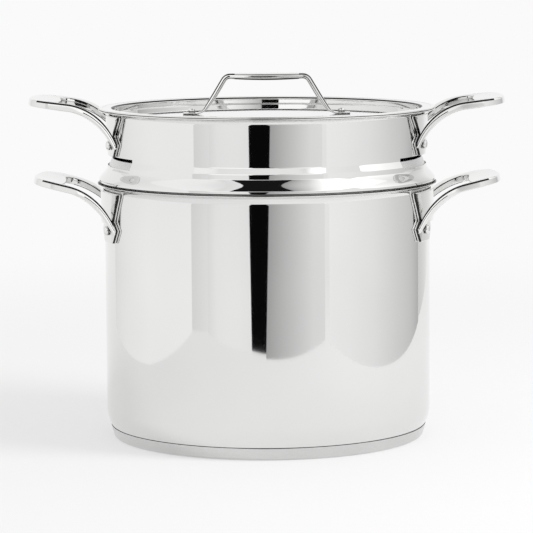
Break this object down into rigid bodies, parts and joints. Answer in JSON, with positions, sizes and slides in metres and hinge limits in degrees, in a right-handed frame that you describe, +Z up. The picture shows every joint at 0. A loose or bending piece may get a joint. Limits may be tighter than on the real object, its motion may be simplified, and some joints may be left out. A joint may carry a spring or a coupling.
{
  "type": "pasta pot",
  "caption": "Polished steel pasta pot: a tall round stock pot with loop handles, a perforated insert that hangs in it, and a recessed lid with a strap handle.",
  "frame": {"origin": "centre of the base at the surface the pot stands on", "axes": "+Z up along the axis of the pot; +X out through the right-hand loop handles; -Y towards the viewer of the picture"},
  "size_m": [0.3882, 0.2772, 0.2971],
  "materials": {
    "polished_steel": "mirror polished stainless steel",
    "satin_steel": "satin stainless steel",
    "cast_steel": "polished cast stainless steel",
    "aluminium": "plain rolled"
  },
  "bodies": {
    "pot": {"pot_body": "polished_steel", "base_cap": "satin_steel", "base_core": "aluminium", "pot_handle_left": "cast_steel", "pot_handle_right": "cast_steel", "pot_rivet_left_front": "cast_steel", "pot_rivet_left_back": "cast_steel", "pot_rivet_right_front": "cast_steel", "pot_rivet_right_back": "cast_steel"},
    "insert": {"insert_collar": "polished_steel", "insert_basket": "satin_steel", "insert_handle_left": "cast_steel", "insert_handle_right": "cast_steel", "insert_rivet_left_front": "cast_steel", "insert_rivet_left_back": "cast_steel", "insert_rivet_right_front": "cast_steel", "insert_rivet_right_back": "cast_steel"},
    "lid": {"lid_shell": "polished_steel", "lid_handle": "cast_steel", "lid_rivet_left": "cast_steel", "lid_rivet_right": "cast_steel"}
  },
  "joints": [
    {"name": "insert_lift", "type": "slide", "parent": "pot", "child": "insert", "axis": [0, 0, 1], "range_m": [0, 0.2]},
    {"name": "lid_lift", "type": "slide", "parent": "insert", "child": "lid", "axis": [0, 0, 1], "range_m": [0, 0.08]}
  ]
}
